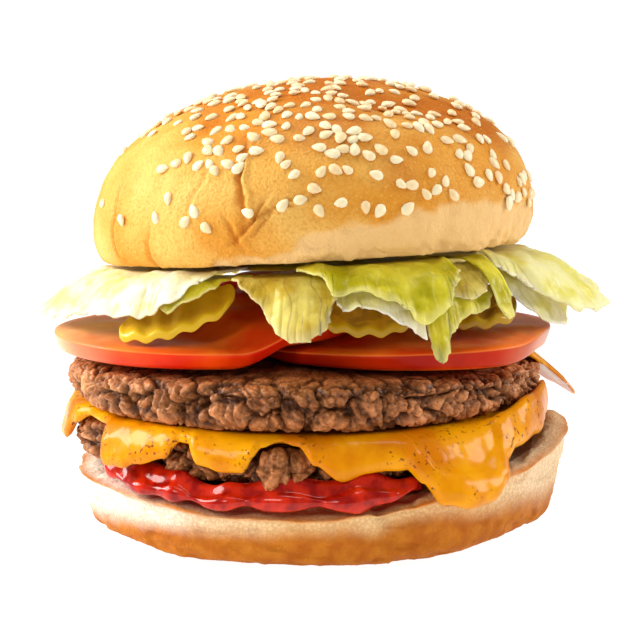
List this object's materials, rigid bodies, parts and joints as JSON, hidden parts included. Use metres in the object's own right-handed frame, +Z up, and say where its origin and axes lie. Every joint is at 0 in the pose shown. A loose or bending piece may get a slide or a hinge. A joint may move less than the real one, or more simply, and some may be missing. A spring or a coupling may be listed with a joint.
{
  "type": "cheeseburger",
  "caption": "Double cheeseburger in a sesame bun: heel, sauce, beef patties, melted cheese, tomato and pickle slices, lettuce and a seeded crown.",
  "frame": {"origin": "centre of the flat underside of the bun's heel", "axes": "+Z up, -Y towards the viewer of the picture, +X to the viewer's right"},
  "size_m": [0.133, 0.1213, 0.106],
  "materials": {
    "heel": "baked bread crust, matt",
    "crown": "glazed bread crust, satin",
    "patty": "fried minced beef, moist",
    "cheese": "melted cheese, glossy",
    "ketchup": "wet sauce, glossy",
    "tomato": "wet tomato, glossy",
    "pickle": "wet pickle, glossy",
    "lettuce": "crisp leaf, satin"
  },
  "bodies": {
    "root": {"bun_crown": "crown", "bun_heel": "heel", "cheese_lower": "cheese", "cheese_upper": "cheese", "ketchup": "ketchup", "lettuce_back": "lettuce", "lettuce_back_left": "lettuce", "lettuce_back_right": "lettuce", "lettuce_fold": "lettuce", "lettuce_front": "lettuce", "lettuce_front_left": "lettuce", "lettuce_front_right": "lettuce", "lettuce_front_under": "lettuce", "lettuce_left": "lettuce", "lettuce_left_fold": "lettuce", "lettuce_middle": "lettuce", "lettuce_right": "lettuce", "lettuce_right_under": "lettuce", "lettuce_strip": "lettuce", "patty_lower": "patty", "patty_upper": "patty", "pickle_left": "pickle", "pickle_middle": "pickle", "pickle_right": "pickle", "tomato_back": "tomato", "tomato_left": "tomato", "tomato_right": "tomato"}
  },
  "joints": []
}
